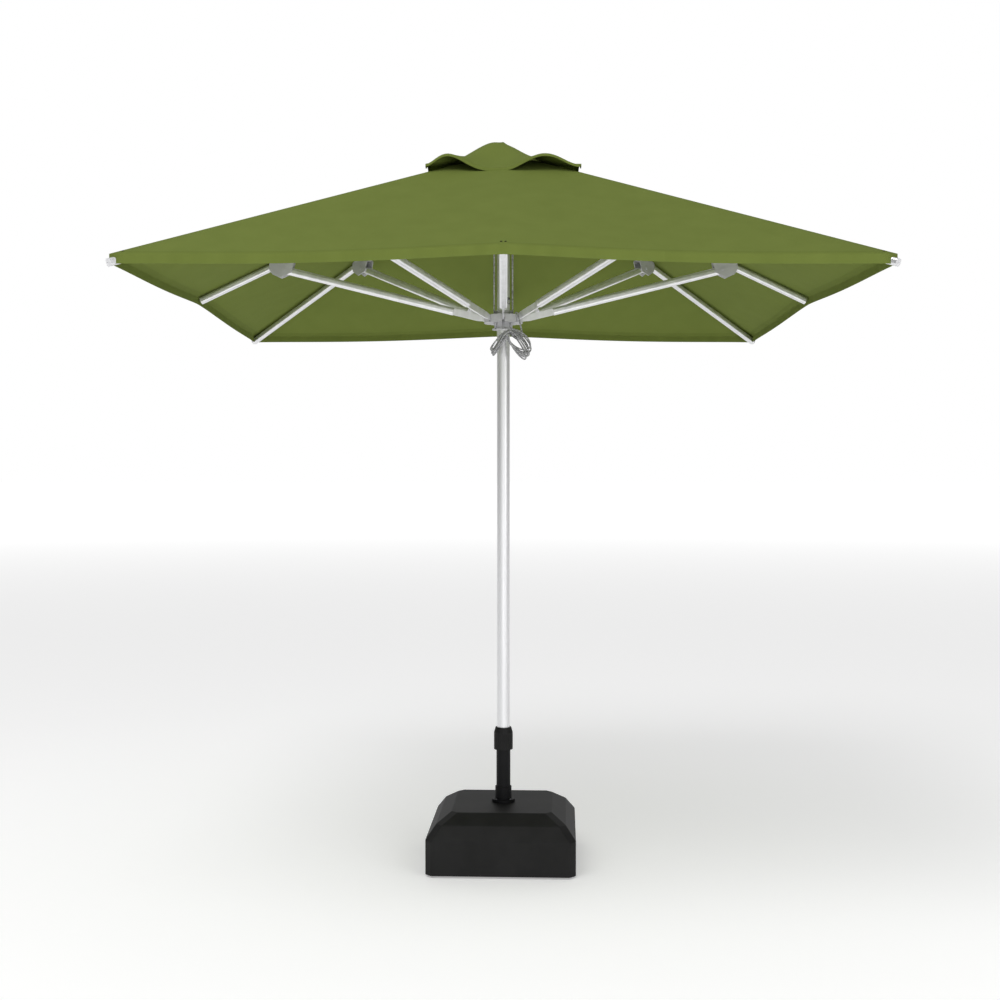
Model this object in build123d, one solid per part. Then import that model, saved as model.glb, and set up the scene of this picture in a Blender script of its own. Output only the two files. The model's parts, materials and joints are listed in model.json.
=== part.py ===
from build123d import *
import math
import os

# Square patio umbrella on a ballasted base. Millimetres, +Z up, origin on the pole's axis at floor level.
# The front of the canopy faces -Y. Ribs are numbered anticlockwise from the right-hand edge (+X).

# ---- driving dimensions ----
CANOPY_SIDE = 2400.0
FINIAL_TOP = 2798.0
POLE_R = 25.0
POLE_WALL = 2.0
POLE_BOTTOM = 60.0
POLE_TOP = 2745.0
RIB_COUNT = 8
SECTOR = 360.0 / RIB_COUNT

CROWN_PIVOT_R = 62.0
CROWN_PIVOT_Z = 2727.0
CROWN_HUB_R = 70.0
CROWN_HUB_DOWN = 18.0
CROWN_HUB_UP = 15.0
CROWN_SLOT_INNER_R = 44.0
CROWN_COLLAR_R = 34.0
CROWN_COLLAR_HEIGHT = 40.0
CROWN_PIN_LENGTH = 20.0
POLE_GRIP = 0.02
POLE_CAP_HEIGHT = 4.0
POLE_PLUG_DEPTH = 20.0
POLE_PLUG_PLAY = 0.05
FINIAL_STUD_R = 5.0
FINIAL_NUT_R = 11.0
FINIAL_NUT_HEIGHT = 10.0
FINIAL_TIP_R = 7.0
FINIAL_TIP_HEIGHT = 4.0
FOOT_PLUG_BELOW = 6.0
FOOT_PLUG_DEPTH = 30.0
MID_RIB_SLOPE = 25.5
CORNER_RIB_SLOPE = 19.4
RIB_HEIGHT = 26.0
RIB_WIDTH = 28.0
RIB_WALL = 2.0
RIB_ROUND = 9.0
RIB_BLADE_LENGTH = 80.0
PLUG_LENGTH = 20.0
END_CAP_PROUD = 8.0
END_CAP_PLAY = 0.1
END_SLOT_WIDTH = 12.0
END_SLOT_HEIGHT = 3.0
END_SLOT_DEPTH = 2.5
MID_RIB_END_R = 1182.0
CORNER_RIB_END_R = 1692.0

BLADE_WIDTH = 8.0
SLOT_WIDTH = 9.6
PIN_R = 3.0
PIN_FIT = 0.05

BRACKET_R_MID = 862.0
BRACKET_R_CORNER = 868.0
BRACKET_DROP = 30.0
BRACKET_LENGTH = 100.0
BRACKET_TOP = 15.8
BRACKET_BOTTOM = 54.0
BRACKET_CHEEK = 3.2
BRACKET_LUG_LENGTH = 48.0
BRACKET_SHOULDER = 22.0
BRACKET_TOP_CUT = 12.0
BRACKET_SIDE_PLAY = 0.6
BRACKET_RIB_PLAY = 0.05
BRACKET_BRIDGE = 1.5
PIN_HEAD_R = 6.0
PIN_HEAD_HEIGHT = 3.0

RUNNER_PIVOT_R = 70.0
RUNNER_PIVOT_Z = 2117.0
RUNNER_OUTER_R = 76.0
RUNNER_HALF_HEIGHT = 15.0
SLOT_INNER_R = 31.0
SLOT_OUTER_R = 90.0
RUNNER_SLEEVE_R = 36.0
RUNNER_SLEEVE_UP = 18.0
RUNNER_SLEEVE_DOWN = 22.0
RUNNER_LIP_R = 44.0
RUNNER_LIP = 4.0
BUSH_WALL = 1.42
BUSH_PLAY = 0.08
BUSH_FIT = 0.05
ROPE_WAY_PLAY = 0.6
STRUT_HEIGHT = 29.0
STRUT_WIDTH = 30.0
STRUT_WALL = 1.8
STRUT_ROUND = 10.0
STRUT_PLUG_LENGTH = 40.0
STRUT_BLADE_LENGTH = 130.0
BLADE_TIP_R = 7.5
BLADE_TAPER = 32.0

FABRIC = 2.0
MID_FABRIC_RISE = 19.0
CORNER_FABRIC_RISE = 24.0
VENT_HALF = 120.0
CAP_HALF = 290.0
CAP_EDGE_LIFT = 6.0
CAP_PEAK_LIFT = 45.0
CAP_HOLE = 2.0

ROPE_D = 7.0
ROPE_R = 39.0
ROPE_FOOT_UP = 5.0
SHEAVE_Z = 2640.0
LOCK_PIN_Z = 2193.0
LOCK_PIN_R = 4.0
LOCK_PIN_AZIMUTH = -67.5
LOCK_HOLE_STEP = 70.0
LOCK_PIN_INNER = 32.0
LOCK_PIN_LENGTH = 74.0
LOCK_HEAD_R = 6.0
LOCK_HEAD_LENGTH = 6.0
LOCK_RING_R = 12.0
LOCK_RING_WIRE_R = 1.4
LOCK_RING_DROP = 9.0
THROUGH_POLE = 80.0
SHEAVE_WIDTH = 9.6
SHEAVE_LIP = 1.0
SHEAVE_GROOVE_PLAY = 0.5
AXLE_OVERHANG = 10.0
HANK_KNOT = (16.0, -72.0, 2062.0)
HANK_KNOT_R = 24.0
HANK_NECK_R = 20.0
HANK_LOBES = (((-42.0, -72.0, 1988.0), 16.0), ((84.0, -72.0, 1978.0), 27.0))

BASE_SIDE = 565.0
BASE_TURN = -2.5
BASE_CHAMFER = 24.0
BASE_WALL_TOP = 138.0
SHOULDER_HALF = 245.0
SHOULDER_Z = 188.0
PLATEAU_HALF = 190.0
PLATEAU_Z = 224.0
SHELL_WALL = 5.0
BASE_ROUND = 12.0
FOOT_HEIGHT = 8.0
FOOT_R = 30.0
FOOT_SPACING = 430.0
SLAB_SIDE = 520.0
SLAB_HEIGHT = 110.0
SLAB_PLAY = 0.5
STEM_R = 27.5
STEM_BOTTOM = 20.0
STEM_TOP = 436.0
STEM_FLOOR = 28.0
STEM_FIT = 0.02
POLE_SLIDE = 0.09
SOCKET_R = 32.0
SOCKET_HEIGHT = 60.0
FLANGE_R = 45.0
FLANGE_HEIGHT = 12.0
BOLT_COUNT = 4
BOLT_CIRCLE_R = 39.0
BOLT_HEAD_R = 3.5
BOLT_HEAD_HEIGHT = 3.0
COLLET_R = 31.0
COLLET_HEIGHT = 66.0
COLLET_CUT_UP = 28.0
COLLET_CUT_LENGTH = 40.0
COLLET_CUT_WIDTH = 2.0
NUT_R = 37.0
NUT_BOTTOM = 430.0
NUT_TOP = 516.0
NUT_CONE = 20.0
NUT_CAP = 10.0
NUT_PLAY = 0.06
NUT_GRIP_COUNT = 24
NUT_GRIP_R = 1.8
NUT_GRIP_LENGTH = 52.0
NUT_GRIP_UP = 8.0

NODES = {}


def keep(name, shape):
    """Hold one named piece for writing."""
    NODES[name] = shape


def tube(outer, inner, bottom, top):
    """An upright round tube on the pole's axis."""
    wall = Pos(0, 0, bottom) * Cylinder(outer, top - bottom, align=(Align.CENTER, Align.CENTER, Align.MIN))
    bore = Pos(0, 0, bottom) * Cylinder(inner, top - bottom, align=(Align.CENTER, Align.CENTER, Align.MIN))
    return wall - bore


def disc(radius, bottom, top):
    """An upright solid cylinder on the pole's axis."""
    return Pos(0, 0, bottom) * Cylinder(radius, top - bottom, align=(Align.CENTER, Align.CENTER, Align.MIN))


def cross_pin(radius, length, x, z):
    """A pin along Y through the point x, z of a rib's own upright plane."""
    return Pos(x, 0, z) * Rot(90, 0, 0) * Cylinder(radius, length)


def radial_slots(shape, inner, outer, bottom, top):
    """Cut one slot for every rib blade."""
    for index in range(RIB_COUNT):
        slot = Pos(inner, 0, bottom) * Box(
            outer - inner, SLOT_WIDTH, top - bottom, align=(Align.MIN, Align.CENTER, Align.MIN)
        )
        shape = shape - Rot(0, 0, index * SECTOR) * slot
    return shape


def rounded_bar(length, width, height, radius):
    """A bar along X from the origin with a rounded rectangular section."""
    section = Plane.YZ * RectangleRounded(width, height, radius)
    return extrude(section, length)


def inner_bar(length, width, height, wall, radius):
    """A bar that fills a rounded tube of this wall."""
    return rounded_bar(length, width - 2 * wall, height - 2 * wall, radius - wall)


def is_corner(index):
    return index % 2 == 1


def side_frame(index):
    """Bracket pin, rib slope, strut length and strut rise of one rib, in its own upright plane."""
    slope = math.radians(CORNER_RIB_SLOPE if is_corner(index) else MID_RIB_SLOPE)
    bracket_r = BRACKET_R_CORNER if is_corner(index) else BRACKET_R_MID
    along = (bracket_r - CROWN_PIVOT_R + BRACKET_DROP * math.sin(slope)) / math.cos(slope)
    pin_z = CROWN_PIVOT_Z - along * math.sin(slope) - BRACKET_DROP * math.cos(slope)
    rise = math.atan2(pin_z - RUNNER_PIVOT_Z, bracket_r - RUNNER_PIVOT_R)
    length = math.hypot(pin_z - RUNNER_PIVOT_Z, bracket_r - RUNNER_PIVOT_R)
    return slope, along, bracket_r, pin_z, length, rise


# ---- ribs, brackets and struts ----
def make_rib(length):
    """One aluminium rib along +X from its crown pin, with a flat tongue at the crown."""
    outer = rounded_bar(length - RIB_BLADE_LENGTH, RIB_WIDTH, RIB_HEIGHT, RIB_ROUND)
    inner = inner_bar(length - RIB_BLADE_LENGTH, RIB_WIDTH, RIB_HEIGHT, RIB_WALL, RIB_ROUND)
    body = Pos(RIB_BLADE_LENGTH, 0, 0) * (outer - inner)
    tongue_length = RIB_BLADE_LENGTH + PLUG_LENGTH
    tongue = Pos(tongue_length / 2, 0, 0) * Box(tongue_length, BLADE_WIDTH, RIB_HEIGHT - 2 * RIB_WALL)
    end_plug = inner_bar(PLUG_LENGTH, RIB_WIDTH, RIB_HEIGHT, RIB_WALL, RIB_ROUND)
    end_plug = Pos(RIB_BLADE_LENGTH, 0, 0) * end_plug
    tongue = tongue + cross_pin((RIB_HEIGHT - 2 * RIB_WALL) / 2, BLADE_WIDTH, 0, 0)
    rib = body + tongue + end_plug
    return rib - cross_pin(PIN_R + PIN_FIT, RIB_WIDTH, 0, 0)


def make_end_cap(length):
    """A moulded plug in the rib's outer end, standing a little proud, with a short slot in its face."""
    flange = Pos(length, 0, 0) * rounded_bar(END_CAP_PROUD, RIB_WIDTH, RIB_HEIGHT, RIB_ROUND)
    wall = RIB_WALL + END_CAP_PLAY
    plug = inner_bar(PLUG_LENGTH + END_CAP_PLAY, RIB_WIDTH, RIB_HEIGHT, wall, RIB_ROUND)
    plug = Pos(length - PLUG_LENGTH, 0, 0) * plug
    slot = Pos(length + END_CAP_PROUD, 0, 0) * Box(2 * END_SLOT_DEPTH, END_SLOT_WIDTH, END_SLOT_HEIGHT)
    return flange + plug - slot


def make_bracket():
    """A saddle clamped round the rib with two cheeks below for the strut. Origin on the rib's axis."""
    half = BRACKET_LENGTH / 2
    lug = BRACKET_LUG_LENGTH / 2
    outline = Polyline(
        (-half, 0),
        (-half + BRACKET_TOP_CUT, BRACKET_TOP),
        (half - BRACKET_TOP_CUT, BRACKET_TOP),
        (half, 0),
        (half, -BRACKET_SHOULDER),
        (lug, -BRACKET_BOTTOM),
        (-lug, -BRACKET_BOTTOM),
        (-half, -BRACKET_SHOULDER),
        close=True,
    )
    inside = STRUT_WIDTH + 2 * BRACKET_SIDE_PLAY
    width = inside + 2 * BRACKET_CHEEK
    block = extrude(Plane.XZ * make_face(outline), width / 2, both=True)
    rib_way = inner_bar(BRACKET_LENGTH, RIB_WIDTH, RIB_HEIGHT, -BRACKET_RIB_PLAY, RIB_ROUND)
    rib_way = Pos(-half, 0, 0) * rib_way
    strut_way = Pos(0, 0, -(RIB_HEIGHT / 2 + BRACKET_BRIDGE)) * Box(
        BRACKET_LENGTH, inside, BRACKET_BOTTOM, align=(Align.CENTER, Align.CENTER, Align.MAX)
    )
    block = block - rib_way - strut_way
    pin = cross_pin(PIN_R, width + 2 * PIN_HEAD_HEIGHT, 0, -BRACKET_DROP)
    head = cross_pin(PIN_HEAD_R, PIN_HEAD_HEIGHT, 0, -BRACKET_DROP)
    head_y = (width + PIN_HEAD_HEIGHT) / 2
    return block + pin + Pos(0, head_y, 0) * head + Pos(0, -head_y, 0) * head


def make_strut(length):
    """One strut along +X from its runner pin to its bracket pin."""
    tube_length = length - STRUT_BLADE_LENGTH
    outer = rounded_bar(tube_length, STRUT_WIDTH, STRUT_HEIGHT, STRUT_ROUND)
    inner = inner_bar(tube_length, STRUT_WIDTH, STRUT_HEIGHT, STRUT_WALL, STRUT_ROUND)
    body = Pos(STRUT_BLADE_LENGTH, 0, 0) * (outer - inner)
    eye = cross_pin(STRUT_HEIGHT / 2, STRUT_WIDTH, length, 0)
    plug = Pos(length - STRUT_PLUG_LENGTH, 0, 0) * inner_bar(
        STRUT_PLUG_LENGTH, STRUT_WIDTH, STRUT_HEIGHT, STRUT_WALL, STRUT_ROUND
    )
    tip = Pos(STRUT_BLADE_LENGTH, 0, 0) * inner_bar(
        PLUG_LENGTH, STRUT_WIDTH, STRUT_HEIGHT, STRUT_WALL, STRUT_ROUND
    )
    full = STRUT_HEIGHT / 2 - STRUT_WALL
    outline = Polyline(
        (0, -BLADE_TIP_R),
        (BLADE_TAPER, -full),
        (STRUT_BLADE_LENGTH + PLUG_LENGTH, -full),
        (STRUT_BLADE_LENGTH + PLUG_LENGTH, full),
        (BLADE_TAPER, full),
        (0, BLADE_TIP_R),
        close=True,
    )
    blade = extrude(Plane.XZ * make_face(outline), BLADE_WIDTH / 2, both=True)
    blade = blade + cross_pin(BLADE_TIP_R, BLADE_WIDTH, 0, 0)
    strut = body + eye + plug + tip + blade
    return strut - cross_pin(PIN_R + PIN_FIT, STRUT_WIDTH, length, 0)


def rib_length(index):
    slope = math.radians(CORNER_RIB_SLOPE if is_corner(index) else MID_RIB_SLOPE)
    end_r = CORNER_RIB_END_R if is_corner(index) else MID_RIB_END_R
    return (end_r - CROWN_PIVOT_R) / math.cos(slope)


def place_on_rib(shape, index):
    """Carry a piece from the rib's own line to its place under the canopy."""
    slope = CORNER_RIB_SLOPE if is_corner(index) else MID_RIB_SLOPE
    return Rot(0, 0, index * SECTOR) * Pos(CROWN_PIVOT_R, 0, CROWN_PIVOT_Z) * Rot(0, slope, 0) * shape


def frame_pieces():
    for index in range(RIB_COUNT):
        slope, along, bracket_r, pin_z, length, rise = side_frame(index)
        rib = place_on_rib(make_rib(rib_length(index)), index)
        end_cap = place_on_rib(make_end_cap(rib_length(index)), index)
        keep(f"rib_{index + 1}", Compound(children=[rib, end_cap]))
        keep(f"strut_bracket_{index + 1}", place_on_rib(Pos(along, 0, 0) * make_bracket(), index))
        strut = Pos(RUNNER_PIVOT_R, 0, RUNNER_PIVOT_Z) * Rot(0, -math.degrees(rise), 0) * make_strut(length)
        keep(f"strut_{index + 1}", Rot(0, 0, index * SECTOR) * strut)


# ---- canopy ----
def fabric_height(index):
    """Apex height and fall per millimetre of the fabric's ridge over one rib."""
    slope = math.radians(CORNER_RIB_SLOPE if is_corner(index) else MID_RIB_SLOPE)
    lift = CORNER_FABRIC_RISE if is_corner(index) else MID_FABRIC_RISE
    apex = CROWN_PIVOT_Z + CROWN_PIVOT_R * math.tan(slope) + lift / math.cos(slope)
    return apex, math.tan(slope)


def ridge_point(index, half_side, lift):
    """The point over one rib on a square of the given half side."""
    reach = half_side * (math.sqrt(2.0) if is_corner(index) else 1.0)
    apex, fall = fabric_height(index)
    angle = math.radians(index * SECTOR)
    return Vector(reach * math.cos(angle), reach * math.sin(angle), apex - fall * reach + lift)


def half_panel(index, side, inner_half, outer_half, inner_lift=0.0, outer_lift=0.0):
    """The fabric from one rib to the seamless middle of the panel beside it."""
    near_in = ridge_point(index, inner_half, inner_lift)
    near_out = ridge_point(index, outer_half, outer_lift)
    far_in = ridge_point(index + side, inner_half, inner_lift)
    far_out = ridge_point(index + side, outer_half, outer_lift)
    middle = math.tan(math.radians(SECTOR / 2))
    share = middle if not is_corner(index) else 1.0 - middle
    mid_in = near_in + (far_in - near_in) * share
    mid_out = near_out + (far_out - near_out) * share
    return near_in, near_out, mid_out, mid_in


def plate(points):
    """A thin upright-walled plate under four points, made of two triangular prisms."""
    shape = None
    for trio in ((0, 1, 2), (0, 2, 3)):
        corners = [points[i] for i in trio]
        face = make_face(Polyline(*corners, close=True))
        prism = extrude(face, FABRIC, dir=(0, 0, -1))
        shape = prism if shape is None else shape + prism
    return shape


def canopy_pieces():
    for index in range(RIB_COUNT):
        main = plate(half_panel(index, 1, VENT_HALF, CANOPY_SIDE / 2))
        main = main + plate(half_panel(index, -1, VENT_HALF, CANOPY_SIDE / 2))
        flap = plate(half_panel(index, 1, CAP_HOLE, CAP_HALF, CAP_PEAK_LIFT, CAP_EDGE_LIFT))
        flap = flap + plate(half_panel(index, -1, CAP_HOLE, CAP_HALF, CAP_PEAK_LIFT, CAP_EDGE_LIFT))
        keep(f"canopy_gore_{index + 1}", Compound(children=[main, flap]))


# ---- crown, pole and runner ----
def crown_pieces():
    hub_bottom = CROWN_PIVOT_Z - CROWN_HUB_DOWN
    hub_top = CROWN_PIVOT_Z + CROWN_HUB_UP
    hub = tube(CROWN_HUB_R, POLE_R + POLE_GRIP, hub_bottom, hub_top)
    hub = radial_slots(hub, CROWN_SLOT_INNER_R, SLOT_OUTER_R, hub_bottom, hub_top)
    hub = hub + tube(CROWN_COLLAR_R, POLE_R + POLE_GRIP, hub_bottom - CROWN_COLLAR_HEIGHT, hub_bottom)
    pins = None
    for index in range(RIB_COUNT):
        pin = Rot(0, 0, index * SECTOR) * cross_pin(PIN_R, CROWN_PIN_LENGTH, CROWN_PIVOT_R, CROWN_PIVOT_Z)
        hub = hub - pin
        pins = pin if pins is None else pins + pin
    keep("crown_hub", hub)
    keep("crown_pins", pins)
    plug = disc(POLE_R - POLE_WALL - POLE_PLUG_PLAY, POLE_TOP - POLE_PLUG_DEPTH, POLE_TOP)
    stud_bottom = POLE_TOP + POLE_CAP_HEIGHT
    keep("pole_top_cap", plug + disc(POLE_R, POLE_TOP, stud_bottom))
    tip_bottom = FINIAL_TOP - FINIAL_TIP_HEIGHT
    nut_bottom = tip_bottom - FINIAL_NUT_HEIGHT
    keep("finial_stud", disc(FINIAL_STUD_R, stud_bottom, nut_bottom))
    nut = disc(FINIAL_NUT_R, nut_bottom, tip_bottom)
    keep("finial_nut", nut + disc(FINIAL_TIP_R, tip_bottom, FINIAL_TOP))


def pole_pieces():
    pole = tube(POLE_R, POLE_R - POLE_WALL, POLE_BOTTOM, POLE_TOP)
    pin_way = Rot(0, 0, LOCK_PIN_AZIMUTH) * Rot(0, 90, 0) * Cylinder(LOCK_PIN_R + PIN_FIT, THROUGH_POLE)
    pole = pole - Pos(0, 0, LOCK_PIN_Z) * pin_way
    pole = pole - Pos(0, 0, LOCK_PIN_Z + LOCK_HOLE_STEP) * pin_way
    pole = pole - Pos(0, 0, SHEAVE_Z) * Rot(0, 90, 0) * Cylinder(PIN_R + PIN_FIT, THROUGH_POLE)
    keep("pole_tube", pole)
    plug_r = POLE_R - POLE_WALL - POLE_PLUG_PLAY
    keep("pole_foot_plug", disc(plug_r, POLE_BOTTOM - FOOT_PLUG_BELOW, POLE_BOTTOM + FOOT_PLUG_DEPTH))


def runner_pieces():
    low = RUNNER_PIVOT_Z - RUNNER_HALF_HEIGHT
    high = RUNNER_PIVOT_Z + RUNNER_HALF_HEIGHT
    lip_top = low - RUNNER_SLEEVE_DOWN
    lip_bottom = lip_top - RUNNER_LIP
    sleeve_top = high + RUNNER_SLEEVE_UP
    hub = disc(RUNNER_OUTER_R, low, high) + disc(RUNNER_SLEEVE_R, lip_top, sleeve_top)
    hub = hub + disc(RUNNER_LIP_R, lip_bottom, lip_top)
    hub = hub - disc(POLE_R + BUSH_PLAY + BUSH_WALL + BUSH_FIT, lip_bottom, sleeve_top)
    hub = radial_slots(hub, SLOT_INNER_R, SLOT_OUTER_R, lip_bottom, sleeve_top)
    for hand in (SECTOR / 2, -SECTOR / 2, 180.0 + SECTOR / 2, 180.0 - SECTOR / 2):
        way = Cylinder(ROPE_D / 2 + ROPE_WAY_PLAY, 2 * RUNNER_OUTER_R)
        hub = hub - Rot(0, 0, hand) * Pos(ROPE_R, 0, high) * way
    keep("runner_hub", hub)
    keep("runner_bush", tube(POLE_R + BUSH_PLAY + BUSH_WALL, POLE_R + BUSH_PLAY, lip_bottom, sleeve_top))


def lock_pin_pieces():
    along = Rot(0, 90, 0)
    start = (Align.CENTER, Align.CENTER, Align.MIN)
    head_x = LOCK_PIN_LENGTH - LOCK_PIN_INNER
    ring_x = head_x + LOCK_RING_R
    shank = Pos(-LOCK_PIN_INNER, 0, 0) * along * Cylinder(LOCK_PIN_R, LOCK_PIN_LENGTH, align=start)
    head = Pos(head_x, 0, 0) * along * Cylinder(LOCK_HEAD_R, LOCK_HEAD_LENGTH, align=start)
    ring = Pos(ring_x, 0, -LOCK_RING_DROP) * Rot(90, 0, 0) * Torus(LOCK_RING_R, LOCK_RING_WIRE_R)
    keep("lock_pin", Pos(0, 0, LOCK_PIN_Z) * Rot(0, 0, LOCK_PIN_AZIMUTH) * (shank + head + ring))


# ---- hoist rope ----
def rope_place(side):
    """Half the gap between one side's two strands, and their X."""
    turn = math.radians(SECTOR / 2)
    return ROPE_R * math.sin(turn), side * ROPE_R * math.cos(turn)


def rope_side(side):
    """One side of the hoist: a strand up, round its sheave and down again."""
    half_gap, x = rope_place(side)
    foot = RUNNER_PIVOT_Z + ROPE_FOOT_UP
    up = Line((x, -half_gap, foot), (x, -half_gap, SHEAVE_Z))
    over = ThreePointArc((x, -half_gap, SHEAVE_Z), (x, 0, SHEAVE_Z + half_gap), (x, half_gap, SHEAVE_Z))
    down = Line((x, half_gap, SHEAVE_Z), (x, half_gap, foot))
    section = Plane((x, -half_gap, foot), z_dir=(0, 0, 1)) * Circle(ROPE_D / 2)
    return sweep(section, up + over + down)


def sheave(side):
    """A grooved wheel turning about X beside the pole."""
    half_gap, x = rope_place(side)
    wheel = Cylinder(half_gap + SHEAVE_LIP, SHEAVE_WIDTH)
    wheel = wheel - Torus(half_gap, ROPE_D / 2 + SHEAVE_GROOVE_PLAY)
    wheel = wheel - Cylinder(PIN_R + PIN_FIT, SHEAVE_WIDTH)
    return Pos(x, 0, SHEAVE_Z) * Rot(0, 90, 0) * wheel


def hank():
    """The spare rope, gathered in a loose hank under the runner and spread into two lobes."""
    knot = Vector(*HANK_KNOT)
    shape = Pos(knot) * Sphere(HANK_KNOT_R)
    for place, radius in HANK_LOBES:
        foot = Vector(*place)
        direction = foot - knot
        cone = Plane(knot, z_dir=direction) * Cone(
            HANK_NECK_R, radius, direction.length, align=(Align.CENTER, Align.CENTER, Align.MIN)
        )
        shape = shape + cone + Pos(foot) * Sphere(radius)
    return shape


def hoist_pieces():
    for name, side in (("right", 1), ("left", -1)):
        keep(f"hoist_rope_{name}", rope_side(side))
        keep(f"sheave_{name}", sheave(side))
    reach = rope_place(1)[1] + AXLE_OVERHANG
    keep("sheave_axle", Pos(0, 0, SHEAVE_Z) * Rot(0, 90, 0) * Cylinder(PIN_R, 2 * reach))
    keep("rope_hank", hank())


# ---- base ----
def octagon(half, cut, z):
    """A square with cut corners at one height, turned with the base."""
    a = half
    b = half - cut
    points = [(a, -b), (a, b), (b, a), (-b, a), (-a, b), (-a, -b), (-b, -a), (b, -a)]
    return Pos(0, 0, z) * make_face(Polyline(*points, close=True))


def housing(inset, bottom):
    """The base's form between the floor gap and the plateau, drawn in by a wall's thickness."""
    half = BASE_SIDE / 2
    rings = [
        octagon(half - inset, BASE_CHAMFER, bottom),
        octagon(half - inset, BASE_CHAMFER, BASE_WALL_TOP - inset / 2),
        octagon(SHOULDER_HALF - inset, BASE_CHAMFER, SHOULDER_Z - inset),
        octagon(PLATEAU_HALF - inset, BASE_CHAMFER, PLATEAU_Z - inset),
    ]
    shape = None
    for low, high in zip(rings, rings[1:]):
        piece = loft([low, high], ruled=True)
        shape = piece if shape is None else shape + piece
    return shape


def rounded_housing():
    """The outer form with every edge above the floor gap rounded, as moulding leaves it."""
    form = housing(0.0, FOOT_HEIGHT)
    edges = [edge for edge in form.edges() if edge.center().Z > FOOT_HEIGHT + 1]
    return fillet(edges, BASE_ROUND)


def base_pieces():
    turn = Rot(0, 0, BASE_TURN)
    stem_way = disc(STEM_R + STEM_FIT, 0, PLATEAU_Z)
    keep("base_shell", turn * (rounded_housing() - housing(SHELL_WALL, FOOT_HEIGHT) - stem_way))
    weight = Pos(0, 0, FOOT_HEIGHT) * Box(
        SLAB_SIDE, SLAB_SIDE, SLAB_HEIGHT, align=(Align.CENTER, Align.CENTER, Align.MIN)
    )
    keep("ballast_slab", turn * (weight - disc(STEM_R + SLAB_PLAY, 0, PLATEAU_Z)))
    feet = None
    for x in (-FOOT_SPACING / 2, FOOT_SPACING / 2):
        for y in (-FOOT_SPACING / 2, FOOT_SPACING / 2):
            foot = Pos(x, y, 0) * disc(FOOT_R, 0, FOOT_HEIGHT)
            feet = foot if feet is None else feet + foot
    keep("base_feet", turn * feet)
    bore_r = POLE_R + POLE_SLIDE
    stem = tube(STEM_R, bore_r, STEM_BOTTOM, STEM_TOP)
    keep("stem_tube", stem + disc(STEM_R, STEM_BOTTOM, STEM_BOTTOM + STEM_FLOOR))
    flange_top = PLATEAU_Z + FLANGE_HEIGHT
    socket = tube(SOCKET_R, STEM_R + STEM_FIT, flange_top, PLATEAU_Z + SOCKET_HEIGHT)
    keep("stem_flange", socket + tube(FLANGE_R, STEM_R + STEM_FIT, PLATEAU_Z, flange_top))
    bolts = None
    for index in range(BOLT_COUNT):
        angle = (index + 0.5) * 360.0 / BOLT_COUNT
        bolt = disc(BOLT_HEAD_R, flange_top, flange_top + BOLT_HEAD_HEIGHT)
        bolt = Rot(0, 0, angle) * Pos(BOLT_CIRCLE_R, 0, 0) * bolt
        bolts = bolt if bolts is None else bolts + bolt
    keep("flange_bolts", bolts)
    clamp_pieces(bore_r)


def clamp_pieces(bore_r):
    """The split collet on top of the stem and the ribbed nut that closes it."""
    collet = tube(COLLET_R, bore_r, STEM_TOP, STEM_TOP + COLLET_HEIGHT)
    wall = COLLET_R - bore_r
    on_floor = (Align.CENTER, Align.CENTER, Align.MIN)
    cut = Box(wall + 1, COLLET_CUT_WIDTH, COLLET_CUT_LENGTH, align=on_floor)
    cut = Pos(bore_r + wall / 2, 0, STEM_TOP + COLLET_CUT_UP) * cut
    for index in range(RIB_COUNT):
        collet = collet - Rot(0, 0, index * SECTOR) * cut
    keep("collet", collet)
    cone_bottom = NUT_TOP - NUT_CONE
    inside = COLLET_R + NUT_PLAY
    cone = Cone(NUT_R, COLLET_R, NUT_CONE, align=(Align.CENTER, Align.CENTER, Align.MIN))
    cone = Pos(0, 0, cone_bottom) * cone - disc(POLE_R + 1, NUT_TOP - NUT_CAP, NUT_TOP)
    cone = cone - disc(inside, cone_bottom, NUT_TOP - NUT_CAP)
    nut = tube(NUT_R, inside, NUT_BOTTOM, cone_bottom) + cone
    groove = Pos(NUT_R + NUT_GRIP_R / 3, 0, 0) * disc(
        NUT_GRIP_R, NUT_BOTTOM + NUT_GRIP_UP, NUT_BOTTOM + NUT_GRIP_UP + NUT_GRIP_LENGTH
    )
    for index in range(NUT_GRIP_COUNT):
        nut = nut - Rot(0, 0, index * 360.0 / NUT_GRIP_COUNT) * groove
    keep("clamp_nut", nut)


def main():
    frame_pieces()
    canopy_pieces()
    crown_pieces()
    pole_pieces()
    runner_pieces()
    lock_pin_pieces()
    hoist_pieces()
    base_pieces()
    os.makedirs("parts", exist_ok=True)
    for name, shape in NODES.items():
        export_step(shape, f"parts/{name}.step")
    print(len(NODES), "pieces written")


main()
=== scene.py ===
# %% [markdown]
# A square garden umbrella on a ballasted base. The CAD model is loaded first and never changed. Everything
# else is built round it: cloth, rope, rivets and every finish. Reading the CAD first means that each new
# piece can take its place from a part that already fits.

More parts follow.
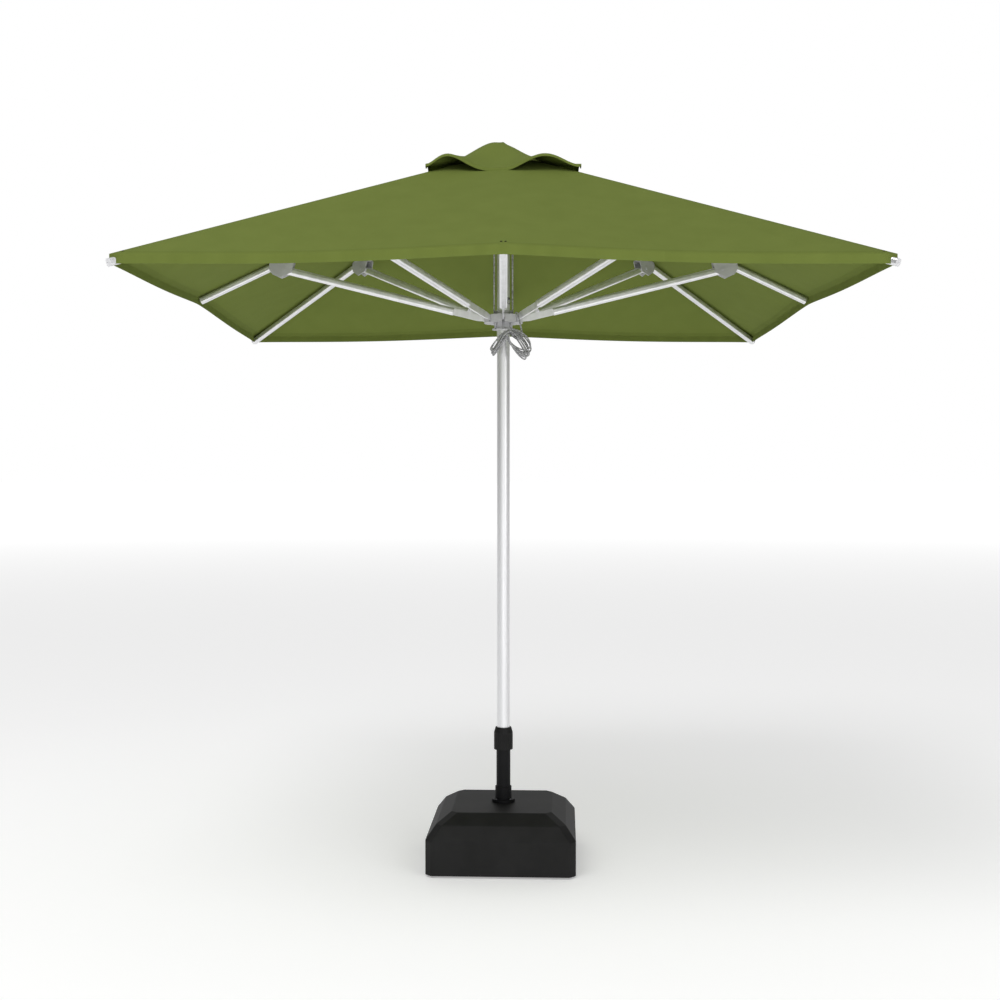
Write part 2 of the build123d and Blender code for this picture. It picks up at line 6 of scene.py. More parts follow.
# %% Load the frame
import bpy
import json
import math
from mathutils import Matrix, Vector


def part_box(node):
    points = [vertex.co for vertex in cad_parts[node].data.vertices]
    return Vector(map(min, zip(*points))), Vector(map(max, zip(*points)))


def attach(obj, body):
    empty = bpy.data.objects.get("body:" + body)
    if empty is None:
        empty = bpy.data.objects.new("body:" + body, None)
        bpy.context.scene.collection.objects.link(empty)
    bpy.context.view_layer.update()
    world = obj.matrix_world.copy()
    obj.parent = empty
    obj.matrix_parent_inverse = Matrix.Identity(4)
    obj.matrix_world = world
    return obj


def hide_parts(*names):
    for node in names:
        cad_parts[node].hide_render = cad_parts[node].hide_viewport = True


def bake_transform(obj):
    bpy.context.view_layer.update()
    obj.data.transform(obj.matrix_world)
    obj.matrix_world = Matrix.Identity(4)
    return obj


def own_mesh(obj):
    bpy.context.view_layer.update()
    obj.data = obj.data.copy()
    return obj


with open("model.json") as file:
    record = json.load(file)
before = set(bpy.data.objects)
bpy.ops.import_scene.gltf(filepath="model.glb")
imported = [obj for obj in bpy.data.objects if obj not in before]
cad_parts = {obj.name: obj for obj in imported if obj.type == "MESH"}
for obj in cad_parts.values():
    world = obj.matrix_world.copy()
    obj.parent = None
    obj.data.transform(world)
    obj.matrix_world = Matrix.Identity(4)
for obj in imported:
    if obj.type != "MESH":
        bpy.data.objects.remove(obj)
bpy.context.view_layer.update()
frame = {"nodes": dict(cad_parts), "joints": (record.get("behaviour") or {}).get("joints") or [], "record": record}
joints = {joint["name"]: joint for joint in frame["joints"]}
MM = 0.001

# %% [markdown]
# The camera stands at eye height, a little over five metres from the pole, and looks level. A level camera
# keeps the pole upright. A small shift moves the view down instead of tilting it.

# %% Camera
CAMERA_DISTANCE = 5.309
CAMERA_HEIGHT = 1.496
LENS = 48.6
SENSOR = 36.0
SHIFT_ACROSS = -0.0034
SHIFT_UP = -0.0225
camera_data = bpy.data.cameras.new("camera")
camera_data.lens = LENS
camera_data.sensor_width = SENSOR
camera_data.shift_x = SHIFT_ACROSS
camera_data.shift_y = SHIFT_UP
camera = bpy.data.objects.new("camera", camera_data)
camera.location = (0.0, -CAMERA_DISTANCE, CAMERA_HEIGHT)
camera.rotation_euler = (math.radians(90), 0.0, 0.0)
bpy.context.scene.collection.objects.link(camera)
bpy.context.scene.camera = camera
bpy.context.scene.view_settings.view_transform = "Standard"
print("camera", tuple(camera.location))

# %% [markdown]
# The studio is a pale floor and three large soft lamps, with a pale surround to follow. The lamps are kept
# weak, because the black base and the dark cloth only read as dark when little light falls on them. Each lamp
# has a place, a point it faces, a width in metres and a power in watts.

# %% Floor and lamps
FLOOR_HALF = 400.0


def make_mesh(name, points, faces, smooth=False):
    """A mesh object at the origin from points in metres."""
    data = bpy.data.meshes.new(name)
    data.from_pydata([tuple(p) for p in points], [], faces)
    data.validate()
    if smooth:
        data.polygons.foreach_set("use_smooth", [True] * len(data.polygons))
    made = bpy.data.objects.new(name, data)
    bpy.context.scene.collection.objects.link(made)
    return made


def area_lamp(name, place, aim, size, watts):
    """A square soft lamp that faces a point."""
    data = bpy.data.lights.new(name, "AREA")
    data.size = size
    data.energy = watts
    lamp = bpy.data.objects.new(name, data)
    lamp.location = place
    lamp.rotation_euler = (Vector(aim) - Vector(place)).to_track_quat("-Z", "Y").to_euler()
    bpy.context.scene.collection.objects.link(lamp)


corners = [(-FLOOR_HALF, -FLOOR_HALF, 0), (FLOOR_HALF, -FLOOR_HALF, 0), (FLOOR_HALF, FLOOR_HALF, 0)]
floor = make_mesh("studio_floor", corners + [(-FLOOR_HALF, FLOOR_HALF, 0)], [(0, 1, 2, 3)])
area_lamp("key_lamp", place=(-2.5, -4.0, 8.0), aim=(0, 0, 1.8), size=4.0, watts=250)
area_lamp("fill_lamp", place=(4.5, -5.0, 3.0), aim=(0, 0, 1.5), size=4.0, watts=70)
area_lamp("low_lamp", place=(0.0, -5.0, 0.6), aim=(0, 0, 2.2), size=3.0, watts=20)

# %% [markdown]
# Two helpers serve everything that has nodes. One turns an sRGB hex value into linear colour. The other adds a
# node, sets its values and makes its links. Three more start a material, mix two tones and raise a grain, so
# that each finish reads as a short list of what it does.

# %% Material helpers


def linear(hex_value):
    """Linear RGBA from an sRGB hex string."""
    parts = [int(hex_value[i : i + 2], 16) / 255.0 for i in (1, 3, 5)]
    out = [c / 12.92 if c <= 0.04045 else ((c + 0.055) / 1.055) ** 2.4 for c in parts]
    return (*out, 1.0)


def add(tree, kind, settings=None, values=None, links=None):
    """Add one node with its settings, input values and incoming links."""
    node = tree.nodes.new(kind)
    for key, value in (settings or {}).items():
        setattr(node, key, value)
    for key, value in (values or {}).items():
        node.inputs[key].default_value = value
    for key, source in (links or {}).items():
        tree.links.new(source, node.inputs[key])
    return node


def start(name, roughness, metallic=0.0):
    """A new material with its shader, and its tree."""
    material = bpy.data.materials.new(name)
    material.use_nodes = True
    tree = material.node_tree
    shader = tree.nodes["Principled BSDF"]
    shader.inputs["Roughness"].default_value = roughness
    shader.inputs["Metallic"].default_value = metallic
    return material, tree, shader


def mottle(tree, coordinate, per_metre, low, high, detail=3.0):
    """Two tones mixed by a noise of a real size."""
    noise = add(tree, "ShaderNodeTexNoise", None, {"Scale": per_metre, "Detail": detail}, {"Vector": coordinate})
    ramp = add(tree, "ShaderNodeValToRGB", None, None, {"Fac": noise.outputs["Fac"]})
    for stop, place, tone in zip(ramp.color_ramp.elements, (0.3, 0.7), (low, high)):
        stop.position = place
        stop.color = linear(tone)
    return noise, ramp


def bump(tree, shader, height, distance_mm, strength):
    """Raise the surface by a height pattern."""
    node = add(tree, "ShaderNodeBump", None, {"Distance": distance_mm * MM, "Strength": strength}, {"Height": height})
    tree.links.new(node.outputs["Normal"], shader.inputs["Normal"])


# %% [markdown]
# The surround is white where the camera looks straight at it. As a light it is weaker, and it darkens to
# either side. Those dark sides put a thin grey edge down each side of a round polished tube, as dark cards do
# in a studio. The floor is a backlit white sheet, so it stays pale and lifts the underside of the cloth.
# It glows a little more far away, where it has to meet the white behind it.

# %% Surround
SURROUND_LIGHT = 0.60
SIDE_LIGHT = 0.02
DIM_FROM = 0.55
DIM_TO = 0.92
FLOOR_GLOW = 0.30
FAR_GLOW = 0.58
GLOW_RISES_FROM = 4.0
GLOW_RISES_TO = 30.0
WHITE = (1.0, 1.0, 1.0, 1.0)
world = bpy.data.worlds.new("studio")
bpy.context.scene.world = world
world.use_nodes = True
sky = world.node_tree
background = sky.nodes["Background"]
background.inputs["Color"].default_value = WHITE
direction = add(sky, "ShaderNodeTexCoord")
axes = add(sky, "ShaderNodeSeparateXYZ", None, None, {"Vector": direction.outputs["Generated"]})
sideways = add(sky, "ShaderNodeMath", {"operation": "ABSOLUTE"}, None, {0: axes.outputs["X"]})
falloff = add(
    sky, "ShaderNodeMapRange", {"interpolation_type": "SMOOTHSTEP"},
    {"From Min": DIM_FROM, "From Max": DIM_TO, "To Min": SURROUND_LIGHT, "To Max": SIDE_LIGHT},
    {"Value": sideways.outputs["Value"]},
)
path = add(sky, "ShaderNodeLightPath")
seen = add(sky, "ShaderNodeMix", {"data_type": "FLOAT"}, {"B": 1.0})
sky.links.new(path.outputs["Is Camera Ray"], seen.inputs["Factor"])
sky.links.new(falloff.outputs["Result"], seen.inputs["A"])
sky.links.new(seen.outputs["Result"], background.inputs["Strength"])
sheet_white, floor_tree, floor_shader = start("backlit_white_studio_floor", 1.0)
floor_shader.inputs["Base Color"].default_value = linear("#F0F0F0")
floor_shader.inputs["Specular IOR Level"].default_value = 0.0
floor_shader.inputs["Emission Color"].default_value = WHITE
ground = add(floor_tree, "ShaderNodeTexCoord")
away = add(floor_tree, "ShaderNodeVectorMath", {"operation": "LENGTH"}, None, {0: ground.outputs["Object"]})
rising = add(
    floor_tree, "ShaderNodeMapRange", None,
    {"From Min": GLOW_RISES_FROM, "From Max": GLOW_RISES_TO, "To Min": FLOOR_GLOW, "To Max": FAR_GLOW},
    {"Value": away.outputs["Value"]},
)
floor_tree.links.new(rising.outputs["Result"], floor_shader.inputs["Emission Strength"])
floor.data.materials.clear()
floor.data.materials.append(sheet_white)
print("surround", SURROUND_LIGHT, "at the sides", SIDE_LIGHT)

# %% [markdown]
# The canopy is woven acrylic cloth, dyed before it is spun, so both faces have one colour. Its look is a dull
# plain weave with a slight slub. The real threads are half a millimetre apart, too fine to see from here, so
# the weave is drawn at two and a half millimetres. The pattern follows the cloth's own UV map.

# %% Woven cloth
THREAD_MM = 2.5
# a wave texture repeats every tau / (20 x its scale) metres
THREAD_SCALE = math.tau / (20.0 * THREAD_MM * MM)
THREAD_COLOUR = linear("#4F5B26")
SLUB_PER_METRE = 9.0
SLUB_SHARE = 0.10


def woven_cloth(name, low, high):
    """A dull plain weave of two thread directions, darker along a line of stitches."""
    material, tree, shader = start(name, 0.86)
    uv = add(tree, "ShaderNodeUVMap", {"uv_map": "cloth"})
    _, ramp = mottle(tree, uv.outputs["UV"], SLUB_PER_METRE, low, high)
    warp, weft = [
        add(
            tree, "ShaderNodeTexWave", {"bands_direction": way},
            {"Scale": THREAD_SCALE, "Distortion": 0.6, "Detail": 1.0}, {"Vector": uv.outputs["UV"]},
        )
        for way in ("X", "Y")
    ]
    weave = add(
        tree, "ShaderNodeMath", {"operation": "MULTIPLY"}, None, {0: warp.outputs["Fac"], 1: weft.outputs["Fac"]}
    )
    stitch = add(tree, "ShaderNodeAttribute", {"attribute_name": "stitch"})
    shade = add(tree, "ShaderNodeMix", {"data_type": "RGBA"}, {"B": THREAD_COLOUR})
    tree.links.new(ramp.outputs["Color"], shade.inputs["A"])
    tree.links.new(stitch.outputs["Fac"], shade.inputs["Factor"])
    slub = add(tree, "ShaderNodeMix", {"data_type": "RGBA", "blend_type": "MULTIPLY"}, {"Factor": SLUB_SHARE})
    tree.links.new(shade.outputs["Result"], slub.inputs["A"])
    tree.links.new(weave.outputs["Value"], slub.inputs["B"])
    tree.links.new(slub.outputs["Result"], shader.inputs["Base Color"])
    bump(tree, shader, weave.outputs["Value"], distance_mm=0.3, strength=0.35)
    shader.inputs["Specular IOR Level"].default_value = 0.04
    return material


cloth = woven_cloth("woven_acrylic_cloth", "#6B7839", "#6F7C3C")
print("cloth", cloth.name)

# %% [markdown]
# Pole, ribs and struts are extruded aluminium tube with a satin anodised skin. Drawing leaves faint streaks
# along the tube, so the noise is stretched along the part's length. The brackets are cast and tumbled: greyer,
# rougher and without streaks. The pins are zinc plated steel. An oxide skin scatters a little light, so the
# tubes are not quite fully metallic. The plastics and the powder coat have a fine even grain instead.

# %% Metals and plastics
ALONG_POLE = (1.0, 1.0, 0.04)
STREAKS_PER_METRE = 40.0
TONES_PER_METRE = 12.0
SKIN_METALLIC = 0.82


def anodised(name, low, high, roughness, stretch):
    """Satin anodised metal with faint streaks."""
    material, tree, shader = start(name, roughness, SKIN_METALLIC)
    place = add(tree, "ShaderNodeTexCoord")
    scaled = add(tree, "ShaderNodeMapping", None, {"Scale": stretch}, {"Vector": place.outputs["Object"]})
    noise, ramp = mottle(tree, scaled.outputs["Vector"], STREAKS_PER_METRE, low, high)
    tree.links.new(ramp.outputs["Color"], shader.inputs["Base Color"])
    spread = add(
        tree, "ShaderNodeMapRange", None, {"To Min": roughness - 0.06, "To Max": roughness + 0.08},
        {"Value": noise.outputs["Fac"]},
    )
    tree.links.new(spread.outputs["Result"], shader.inputs["Roughness"])
    bump(tree, shader, noise.outputs["Fac"], distance_mm=0.05, strength=0.15)
    return material


def cast(name, low, high, roughness, metallic, grain_mm, depth_mm, shine=0.5):
    """A cast, moulded or plated skin with an even grain."""
    material, tree, shader = start(name, roughness, metallic)
    shader.inputs["Specular IOR Level"].default_value = shine
    place = add(tree, "ShaderNodeTexCoord")
    _, ramp = mottle(tree, place.outputs["Object"], TONES_PER_METRE, low, high)
    grain = add(
        tree, "ShaderNodeTexNoise", None, {"Scale": 1.0 / (grain_mm * MM), "Detail": 2.0},
        {"Vector": place.outputs["Object"]},
    )
    tree.links.new(ramp.outputs["Color"], shader.inputs["Base Color"])
    spread = add(
        tree, "ShaderNodeMapRange", None, {"To Min": roughness - 0.08, "To Max": roughness + 0.08},
        {"Value": grain.outputs["Fac"]},
    )
    tree.links.new(spread.outputs["Result"], shader.inputs["Roughness"])
    bump(tree, shader, grain.outputs["Fac"], distance_mm=depth_mm, strength=0.4)
    return material


# a cast finish gives its two tones, roughness, metallic, grain and depth in millimetres, and shine
finishes = {
    "pole_aluminium": anodised("satin_anodised_aluminium", "#E8E8EA", "#F4F4F6", 0.36, ALONG_POLE),
    "bracket_alloy": cast("tumbled_cast_aluminium", "#BCBCBE", "#CCCCCE", 0.5, 0.4, 1.2, 0.12),
    "steel": cast("zinc_plated_steel", "#7C7C80", "#909094", 0.35, 0.9, 0.8, 0.04),
    "hub_plastic": cast("moulded_grey_nylon", "#B4B4B6", "#C4C4C6", 0.45, 0.0, 1.0, 0.08),
    "bush_plastic": cast("turned_white_acetal", "#C8C8C6", "#D6D6D4", 0.35, 0.0, 1.0, 0.04),
    "black_plastic": cast("moulded_black_polyethylene", "#151515", "#1C1C1C", 0.55, 0.0, 1.6, 0.15, 0.22),
    "black_metal": cast("powder_coated_steel", "#0C0C0E", "#131315", 0.5, 0.0, 1.2, 0.10, 0.18),
    "rubber_foot": cast("moulded_rubber", "#141414", "#1A1A1A", 0.8, 0.0, 1.0, 0.10, 0.2),
    "ballast": cast("cast_concrete", "#8C8B86", "#9C9B96", 0.9, 0.0, 3.0, 0.40),
}
slot_of = {part["node"]: part["material_slot"] for part in frame["record"]["subparts"]}
for node_name, node in frame["nodes"].items():
    finish = finishes.get(slot_of[node_name])
    if finish is not None:
        node.data.materials.clear()
        node.data.materials.append(finish)
print("finishes", sorted(finishes))

# %% [markdown]
# The hoist rope is braided polyester. Its braid is a coat of small rounded cells, as fine as the real plaits.
# The tone changes between dark and pale grey in patches about five millimetres across.

# %% Braided rope
ROPE_DIAMETER = 6.0 * MM
TONE_MM = 5.0
PLAIT_MM = 1.6


def braid(name, low, high):
    """A dull fibre skin of small raised cells."""
    material, tree, shader = start(name, 0.75)
    place = add(tree, "ShaderNodeTexCoord")
    _, ramp = mottle(tree, place.outputs["Object"], 1.0 / (TONE_MM * MM), low, high, detail=1.0)
    cells = add(
        tree, "ShaderNodeTexVoronoi", None, {"Scale": 1.0 / (PLAIT_MM * MM)}, {"Vector": place.outputs["Object"]}
    )
    tree.links.new(ramp.outputs["Color"], shader.inputs["Base Color"])
    bump(tree, shader, cells.outputs["Distance"], distance_mm=0.5, strength=0.6)
    return material


rope_finish = braid("braided_polyester_rope", "#77777B", "#C6C6C8")
ROPE_ROUNDNESS = 3
ROPE_STEPS = 8


def rope_curve(name, points):
    """A smooth rope through control points, one open spline."""
    data = bpy.data.curves.new(name, "CURVE")
    data.dimensions = "3D"
    data.bevel_depth = ROPE_DIAMETER / 2
    data.bevel_resolution = ROPE_ROUNDNESS
    data.use_fill_caps = True
    data.resolution_u = ROPE_STEPS
    spline = data.splines.new("NURBS")
    spline.points.add(len(points) - 1)
    for control, point in zip(spline.points, points):
        control.co = (*point, 1.0)
    spline.order_u = 3
    spline.use_endpoint_u = True
    made = bpy.data.objects.new(name, data)
    bpy.context.scene.collection.objects.link(made)
    data.materials.append(rope_finish)
    return made


def as_mesh(source, name):
    """The evaluated shape of an object as a plain mesh object."""
    graph = bpy.context.evaluated_depsgraph_get()
    graph.update()
    data = bpy.data.meshes.new_from_object(source.evaluated_get(graph))
    made = bpy.data.objects.new(name, data)
    bpy.context.scene.collection.objects.link(made)
    bpy.data.objects.remove(source)
    return made


print("rope", rope_finish.name, "diameter", ROPE_DIAMETER)

# %% [markdown]
# The spare rope hangs under the runner as a loose hank: a few turns to the left and more to the right, all
# gathered at one point. Each turn is a teardrop that leaves the gather, swings out and comes back. The turns
# differ in length and width, and each lies a rope's width in front of the last. All of it is one length of
# rope. A thin copy of the same curve is turned into a mesh and removed again.

# %% Rope hank
RUNNER_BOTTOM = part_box("runner_hub")[0].z
GATHER = Vector((0.016, -0.046, RUNNER_BOTTOM - 0.014))
TURN_STEP = 0.0058
POINTS_A_TURN = 13
# each turn's side (1 is right), length, half width and lean in degrees, listed for a loose bundle
turns = [
    (1, 0.122, 0.020, 38), (-1, 0.104, 0.007, 36), (1, 0.112, 0.026, 44), (1, 0.128, 0.016, 33),
    (-1, 0.096, 0.009, 43), (1, 0.118, 0.028, 48), (-1, 0.110, 0.006, 31), (1, 0.126, 0.022, 40),
    (1, 0.108, 0.030, 52), (-1, 0.100, 0.011, 39), (1, 0.116, 0.018, 36),
]
# the rope leaves the top of the runner on the right, drops in a bight in front of it and turns in to the
# gather. The heights are above the gather.
bight = [
    (0.046, -0.052, 0.074), (0.054, -0.072, 0.079), (0.060, -0.083, 0.050), (0.068, -0.083, 0.016),
    (0.073, -0.078, -0.012), (0.064, -0.074, -0.034), (0.046, -0.066, -0.026), (0.028, -0.056, -0.008),
]
# the free end, as steps from the front of the gather
free_end = [(-0.010, -0.002, -0.012), (-0.026, -0.003, -0.038), (-0.040, -0.003, -0.062), (-0.052, -0.002, -0.082)]
route = [Vector((x, y, GATHER.z + above)) for x, y, above in bight]
for count, (side, length, width, lean) in enumerate(turns):
    angle = math.radians(lean)
    out = Vector((side * math.sin(angle), 0, -math.cos(angle)))
    across = Vector((-out.z, 0, out.x))
    for step in range(POINTS_A_TURN):
        share = step / POINTS_A_TURN
        place = GATHER + out * length * math.sin(math.pi * share) ** 2
        place = place - across * width * math.sin(2 * math.pi * share)
        place.y -= TURN_STEP * (count + share)
        route.append(place)
front = GATHER + Vector((0, -TURN_STEP * len(turns), 0))
route += [front + Vector(step) for step in free_end]
hank = rope_curve("rope_hank_turns", route)
line = rope_curve("measure_line", route)
line.data.bevel_depth = 0.0
measured = as_mesh(line, "measure")
bpy.data.objects.remove(measured)
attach(hank, "runner")
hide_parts("rope_hank")

# %% [markdown]
# The hoist itself is two ropes, one each side of the pole. Each runs up from the runner, over its wheel and
# down again. A strand gets longer as the runner drops.

# %% Hoist ropes
ROPE_CIRCLE = 0.039
HALF_SPACING = math.radians(22.5)
WHEEL_Z = joints["sheave_left_spin"]["pos_m"][2]
ARC_STEPS = 12
STRAND_STEPS = 16
for side, name in ((1, "right"), (-1, "left")):
    x = side * ROPE_CIRCLE * math.cos(HALF_SPACING)
    y = ROPE_CIRCLE * math.sin(HALF_SPACING)
    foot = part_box("hoist_rope_" + name)[0].z
    turned = [math.pi * i / ARC_STEPS for i in range(ARC_STEPS + 1)]
    arc = [(x, -y * math.cos(a), WHEEL_Z + y * math.sin(a)) for a in turned]
    strand = [foot + (WHEEL_Z - foot) * i / STRAND_STEPS for i in range(STRAND_STEPS)]
    points = [(x, -y, z) for z in strand] + arc + [(x, y, z) for z in reversed(strand)]
    rope = as_mesh(rope_curve("hoist_line_" + name, points), "hoist_rope_braid_" + name)
    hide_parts("hoist_rope_" + name)
    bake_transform(rope)
    print("hoist rope", name, "from", round(foot, 3), "to", round(WHEEL_Z, 3))

# %% [markdown]
# The canopy is one square sheet over eight ribs. It is cut along the middle of each panel only in this model,
# so that every part can follow its own rib as the frame folds. The height is one formula for the whole cloth,
# so neighbours agree along the cut. Between ribs the cloth sags a little and its edge pulls in.

# %% Cloth surface
CANOPY_HALF = 1.2
MID_SLOPE = math.radians(25.5)
CORNER_SLOPE = math.radians(19.4)
PIVOT = joints["rib_1_fold"]["pos_m"]
MID_RISE = 0.0195
CORNER_RISE = 0.0245
PANEL_SAG = 0.014
SAG_SHARPNESS = 1.6
SAG_AT_CROWN = 1.3
SAG_LOST_BY_HEM = 0.6
EDGE_PULL = 0.011
RIB_TOTAL = 8
RIB_SPACING = math.radians(45)
CUT_SHARE = math.tan(HALF_SPACING)
GORE_STEPS = 14
CLOTH_THICKNESS = 1.4 * MM
STITCH_SHADE = 0.2


def ridge_height(corner, half):
    """Height of the cloth over a rib, where the square through it has this half side."""
    slope = CORNER_SLOPE if corner else MID_SLOPE
    rise = CORNER_RISE if corner else MID_RISE
    reach = half * (math.sqrt(2.0) if corner else 1.0)
    return PIVOT[2] + (PIVOT[0] - reach) * math.tan(slope) + rise / math.cos(slope)


def turn_octant(octant, x, y, z):
    """Carry a point of the first octant to another. Odd octants are mirrored."""
    if octant % 2:
        x, y = y, x
    angle = math.radians(90 * (octant // 2))
    cos, sin = math.cos(angle), math.sin(angle)
    return Vector((x * cos - y * sin, x * sin + y * cos, z))


def cloth_point(octant, share, half):
    """A point of the cloth. share runs from a mid rib (0) to the corner rib (1) beside it."""
    height = ridge_height(False, half) * (1 - share) + ridge_height(True, half) * share
    between = 4 * share * (1 - share)
    span = max(0.0, min(1.0, half / CANOPY_HALF))
    height -= PANEL_SAG * between ** SAG_SHARPNESS * span * (SAG_AT_CROWN - span * SAG_LOST_BY_HEM)
    pulled = half - EDGE_PULL * between * span ** 6
    return turn_octant(octant, pulled, pulled * share, height)


def rib_axes(rib):
    """The level directions along a rib and across it."""
    angle = rib * RIB_SPACING
    return Vector((math.cos(angle), math.sin(angle), 0)), Vector((-math.sin(angle), math.cos(angle), 0))


def gore_columns(rib):
    """The octant and share of each column across one gore, from one cut to the other."""
    before = (rib - 1) % RIB_TOTAL
    at_rib = 1.0 if rib % 2 else 0.0
    ramp = [CUT_SHARE + (at_rib - CUT_SHARE) * i / GORE_STEPS for i in range(GORE_STEPS)]
    return [(before, share) for share in ramp] + [(rib, at_rib)] + [(rib, share) for share in reversed(ramp)]


def grid_piece(name, rows, stitch_rows, rib):
    """A sheet from rows of points, with its UV in metres and a stitch attribute."""
    across = len(rows[0])
    points = [p for row in rows for p in row]
    faces = []
    for r in range(len(rows) - 1):
        for c in range(across - 1):
            a = r * across + c
            faces.append((a, a + across, a + across + 1, a + 1))
    made = make_mesh(name, points, faces, smooth=True)
    radial, lateral = rib_axes(rib)
    uv = made.data.uv_layers.new(name="cloth")
    for loop in made.data.loops:
        co = made.data.vertices[loop.vertex_index].co
        uv.data[loop.index].uv = (co.dot(lateral), co.dot(radial))
    stitch = made.data.attributes.new("stitch", "FLOAT", "POINT")
    for index in range(len(points)):
        stitch.data[index].value = STITCH_SHADE if index // across in stitch_rows else 0.0
    shared = {}
    for face in made.data.polygons:
        for key in face.edge_keys:
            shared[key] = shared.get(key, 0) + 1
    for edge in made.data.edges:
        edge.use_edge_sharp = shared[edge.key] == 1
    made.data.materials.append(cloth)
    solid = made.modifiers.new("thickness", "SOLIDIFY")
    solid.thickness = CLOTH_THICKNESS
    solid.offset = -1.0
    return made


print("cloth surface", "half side", CANOPY_HALF, "thickness", CLOTH_THICKNESS)

# %% [markdown]
# The main cloth runs from the square vent to the hem. The hem is turned down round the edge, and its line of
# stitches sits a little inside it.

# %% Canopy gores
VENT_HALF = 0.120
CAP_HALF = 0.29
GORE_ROWS = 40
HEM_DROP = 0.030
HEM_SHARES = (0.15, 0.5, 1.0)
STITCH_INSET = 0.022
STITCH_WIDTH = 0.004


def declare_cloth(made, rib, over_crown=False):
    """Fasten a cloth piece to its rib, or keep a piece that lies over the crown where it is, and hide the frame's own
    piece.
    """
    number = rib + 1
    arm = "rib_arm_%d" % number
    if over_crown:
        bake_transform(made)
    else:
        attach(made, arm)
        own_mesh(made)
    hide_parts("canopy_gore_%d" % number)


halves = [VENT_HALF + (CANOPY_HALF - VENT_HALF) * i / GORE_ROWS for i in range(GORE_ROWS)]
stitch_row = len(halves) + 1
stitch_half = CANOPY_HALF - STITCH_INSET
halves += [stitch_half - STITCH_WIDTH, stitch_half, CANOPY_HALF]
for rib in range(RIB_TOTAL):
    columns = gore_columns(rib)
    rows = [[cloth_point(octant, share, half) for octant, share in columns] for half in halves]
    hem = [[p + Vector((0, 0, -HEM_DROP * share)) for p in rows[-1]] for share in HEM_SHARES]
    gore = grid_piece("canopy_cloth_%d" % (rib + 1), rows + hem, {stitch_row}, rib)
    declare_cloth(gore, rib)

# %% [markdown]
# The vent cap is a loose square of the same cloth, draped over the end of the pole. It is fastened at the ribs
# and lifts into an arch between each two of them, where hot air leaves. Each arch has its own height and lean.
# The top of the pole pushes up a soft peak, a little to one side.

# %% Vent cap
CAP_EDGE_LIFT = 0.006
CAP_PEAK_LIFT = 0.051
CORNER_LIFT = 0.026
CAP_HEM = 0.010
CAP_ROWS = 26
CAP_START = 0.001
PEAK_WIDTH = 0.13
PEAK_SHIFT = 0.06
ARCH_SHARPNESS = 1.5
ARCH_GROWTH = 2.2
TIP_ROUNDING = 0.010
TIP_WIDTH = 0.035
# height in metres and lean (above 1 leans to the corner) of the arch in each octant
arches = [
    (0.058, 1.2), (0.050, 0.9), (0.056, 1.1), (0.060, 1.3), (0.052, 1.0), (0.060, 1.9), (0.064, 1.1), (0.055, 1.0),
]


def cap_point(octant, share, half):
    """A point of the vent cap, lifted from the surface of the main cloth."""
    place = cloth_point(octant, share, half)
    span = half / CAP_HALF
    height, lean = arches[octant]
    arch = height * math.sin(math.pi * share ** lean) ** ARCH_SHARPNESS * span ** ARCH_GROWTH
    corner = CORNER_LIFT * share ** 5 * span ** 3
    off_centre = math.hypot(place.x + PEAK_SHIFT, place.y)
    peak = CAP_PEAK_LIFT * math.exp(-((off_centre / PEAK_WIDTH) ** 2))
    rounding = -TIP_ROUNDING * math.exp(-((half / TIP_WIDTH) ** 2))
    return place + Vector((0, 0, CAP_EDGE_LIFT + arch + corner + peak + rounding))


cap_halves = [CAP_START + (CAP_HALF - CAP_START) * i / CAP_ROWS for i in range(CAP_ROWS + 1)]
for rib in range(RIB_TOTAL):
    columns = gore_columns(rib)
    rows = [[cap_point(octant, share, half) for octant, share in columns] for half in cap_halves]
    rows.append([p + Vector((0, 0, -CAP_HEM)) for p in rows[-1]])
    flap = grid_piece("vent_cap_cloth_%d" % (rib + 1), rows, {CAP_ROWS - 1}, rib)
    declare_cloth(flap, rib, over_crown=True)

# %% [markdown]
# Two dark rivets fasten the cloth to the end of each rib. They repeat, so a small node tree sets a shaped head
# on each of two points, and the result is turned into a plain mesh for its rib.

# %% Rivets by Geometry Nodes
RIVET_RADIUS = 4.0 * MM
RIVET_HALF_GAP = 6.5 * MM
RIVET_INSET = 0.030
CORNER_RIVET_DROP = 2.6 * MM
HEAD_FLATNESS = 0.5


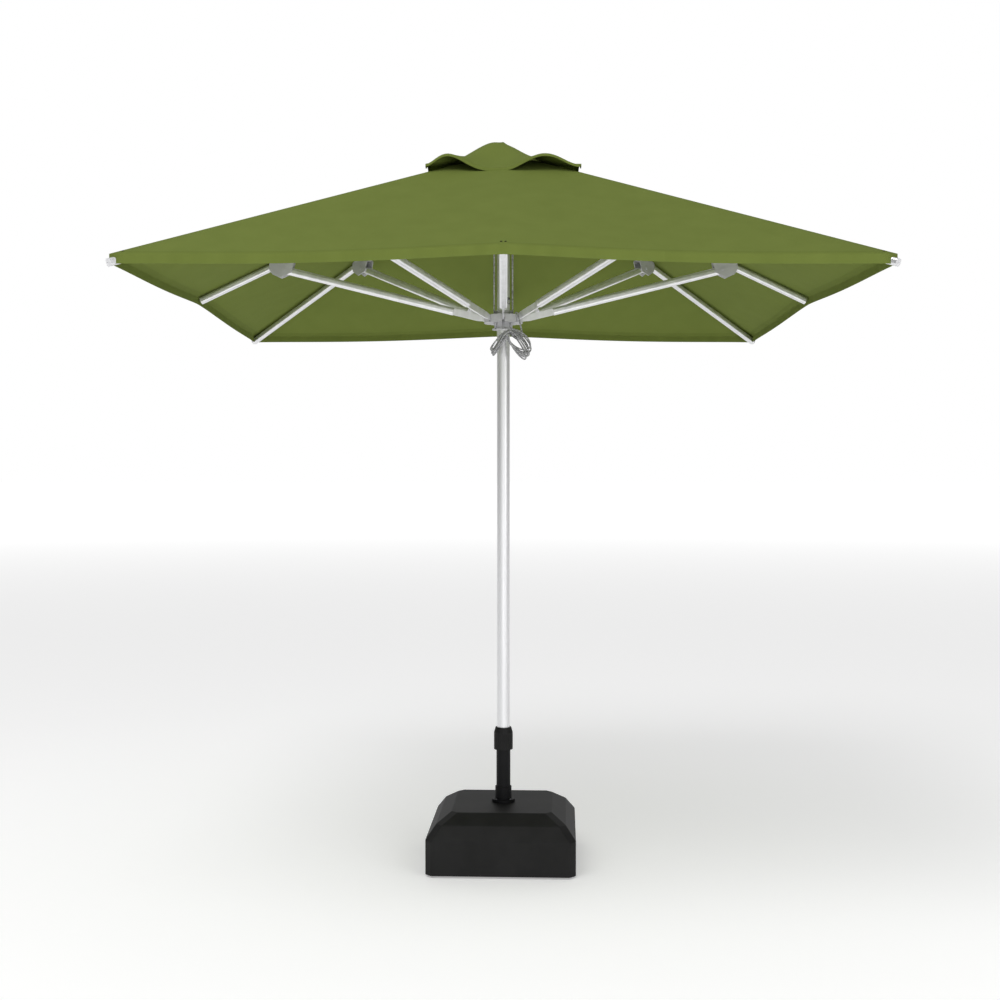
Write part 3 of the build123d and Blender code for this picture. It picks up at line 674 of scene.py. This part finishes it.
def rivet_tree():
    """A flattened round head on every point it is given."""
    tree = bpy.data.node_groups.new("rivet_row", "GeometryNodeTree")
    tree.interface.new_socket("Geometry", in_out="OUTPUT", socket_type="NodeSocketGeometry")
    tree.interface.new_socket("Points", in_out="INPUT", socket_type="NodeSocketGeometry")
    tree.interface.new_socket("Head radius", in_out="INPUT", socket_type="NodeSocketFloat")
    tree.interface.new_socket("Finish", in_out="INPUT", socket_type="NodeSocketMaterial")
    given = add(tree, "NodeGroupInput")
    head = add(
        tree, "GeometryNodeMeshUVSphere", None, {"Segments": 16, "Rings": 8}, {"Radius": given.outputs["Head radius"]}
    )
    flat = add(
        tree, "GeometryNodeTransform", None, {"Scale": (1.0, 1.0, HEAD_FLATNESS)}, {"Geometry": head.outputs["Mesh"]}
    )
    spots = add(
        tree, "GeometryNodeInstanceOnPoints", None, None,
        {"Points": given.outputs["Points"], "Instance": flat.outputs["Geometry"]},
    )
    real = add(tree, "GeometryNodeRealizeInstances", None, None, {"Geometry": spots.outputs["Instances"]})
    finish = add(
        tree, "GeometryNodeSetMaterial", None, None,
        {"Geometry": real.outputs["Geometry"], "Material": given.outputs["Finish"]},
    )
    add(tree, "NodeGroupOutput", None, None, {"Geometry": finish.outputs["Geometry"]})
    return tree


rivets = rivet_tree()
keys = {item.name: item.identifier for item in rivets.interface.items_tree}
for rib in range(RIB_TOTAL):
    at_corner = rib % 2
    aside = rib_axes(rib)[1] * RIVET_HALF_GAP
    spot = cloth_point(rib, float(at_corner), CANOPY_HALF - RIVET_INSET)
    spot.z -= CORNER_RIVET_DROP * at_corner
    base = make_mesh("rivet_points", [spot + aside, spot - aside], [])
    nodes = base.modifiers.new("rivets", "NODES")
    nodes.node_group = rivets
    nodes[keys["Head radius"]] = RIVET_RADIUS
    nodes[keys["Finish"]] = finishes["black_metal"]
    pair = as_mesh(base, "cloth_rivets_%d" % (rib + 1))
    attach(pair, "rib_arm_%d" % (rib + 1))
print("rivets", 2 * RIB_TOTAL)
